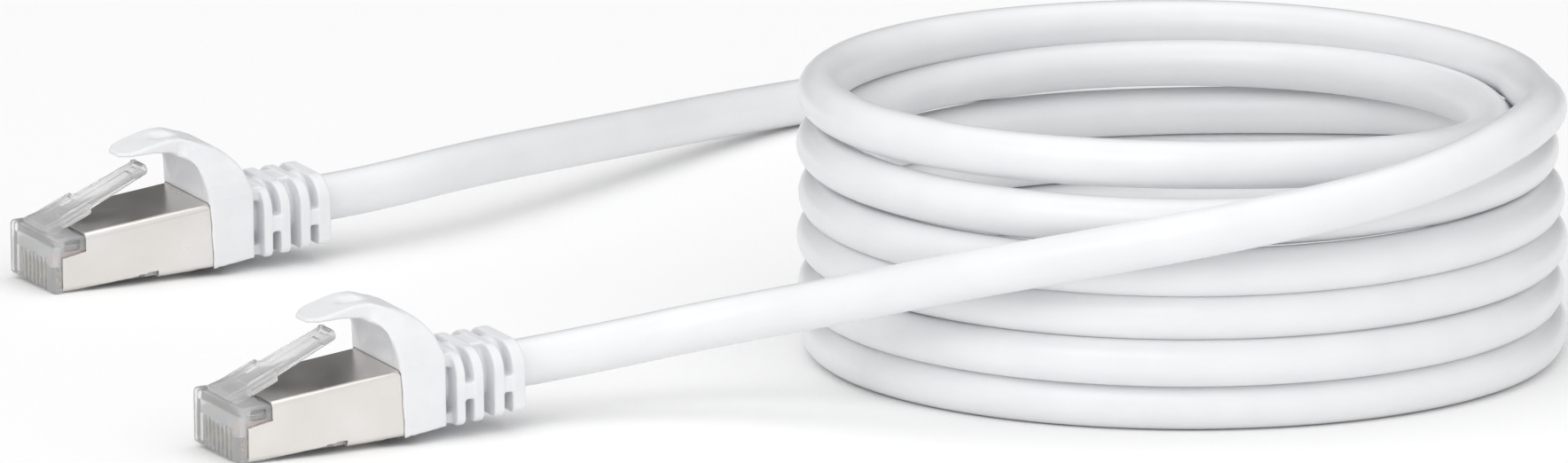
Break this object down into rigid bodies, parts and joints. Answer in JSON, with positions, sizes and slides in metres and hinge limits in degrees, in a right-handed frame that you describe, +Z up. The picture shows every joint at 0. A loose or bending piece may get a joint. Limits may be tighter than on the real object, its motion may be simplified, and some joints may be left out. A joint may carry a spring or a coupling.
{
  "type": "ethernet patch cable",
  "caption": "Shielded ethernet patch cable, white round cord wound in a neat coil, with a booted modular plug and sprung latch at each end.",
  "frame": {"origin": "on the surface that the cable lies on, under the middle of the box around the two plugs", "axes": "+Z up; +Y from plug b towards plug a; +X from the plugs towards the coil"},
  "size_m": [0.1839, 0.2113, 0.034],
  "materials": {
    "clear_polycarbonate": "clear moulded polycarbonate, polished",
    "gold_plate": "gold-plated phosphor bronze",
    "wire_comb_plastic": "translucent moulded plastic",
    "nickel_plate": "nickel-plated sheet, satin with fine scuffs",
    "tinned_braid": "tinned copper braid",
    "white_jacket": "smooth extruded PVC, satin",
    "white_boot": "soft moulded PVC, satin",
    "orange_insulation": "extruded wire insulation",
    "green_insulation": "extruded wire insulation",
    "blue_insulation": "extruded wire insulation",
    "brown_insulation": "extruded wire insulation"
  },
  "bodies": {
    "root": {"nose_housing_a": "clear_polycarbonate", "contact_blades_a": "gold_plate", "load_bar_a": "wire_comb_plastic", "shield_shell_a": "nickel_plate", "crimp_collar_a": "nickel_plate", "braid_sleeve_a": "tinned_braid", "jacket_end_a": "white_jacket", "boot_a": "white_boot", "wire_pair_orange_a": "orange_insulation", "wire_pair_green_a": "green_insulation", "wire_pair_blue_a": "blue_insulation", "wire_pair_brown_a": "brown_insulation", "nose_housing_b": "clear_polycarbonate", "contact_blades_b": "gold_plate", "load_bar_b": "wire_comb_plastic", "shield_shell_b": "nickel_plate", "crimp_collar_b": "nickel_plate", "braid_sleeve_b": "tinned_braid", "jacket_end_b": "white_jacket", "boot_b": "white_boot", "wire_pair_orange_b": "orange_insulation", "wire_pair_green_b": "green_insulation", "wire_pair_blue_b": "blue_insulation", "wire_pair_brown_b": "brown_insulation", "lead_a": "white_jacket", "coil_turns": "white_jacket", "lead_b": "white_jacket"},
    "latch_a": {"latch_lever_a": "clear_polycarbonate"},
    "hood_a": {"boot_hood_a": "white_boot"},
    "latch_b": {"latch_lever_b": "clear_polycarbonate"},
    "hood_b": {"boot_hood_b": "white_boot"}
  },
  "joints": [
    {"name": "hood_flex_a", "type": "hinge", "parent": "root", "child": "hood_a", "pos_m": [-0.00966, 0.04643, 0.0148], "axis": [0.4846, -0.873, -0.0558], "range_deg": [0, 24], "stiffness_Nm_per_rad": 0.02},
    {"name": "latch_press_a", "type": "hinge", "parent": "root", "child": "latch_a", "pos_m": [-0.02683, 0.03736, 0.00754], "axis": [-0.4846, 0.873, 0.0558], "range_deg": [0, 12.5], "stiffness_Nm_per_rad": 0.02},
    {"name": "hood_flex_b", "type": "hinge", "parent": "root", "child": "hood_b", "pos_m": [0.01469, -0.0449, 0.0148], "axis": [0.4846, -0.873, -0.0558], "range_deg": [0, 24], "stiffness_Nm_per_rad": 0.02},
    {"name": "latch_press_b", "type": "hinge", "parent": "root", "child": "latch_b", "pos_m": [-0.00248, -0.05397, 0.00754], "axis": [-0.4846, 0.873, 0.0558], "range_deg": [0, 12.5], "stiffness_Nm_per_rad": 0.02}
  ],
  "couplings": [
    {"joint": "latch_press_a", "follows": "hood_flex_a", "ratio": 0.5},
    {"joint": "latch_press_b", "follows": "hood_flex_b", "ratio": 0.5}
  ]
}
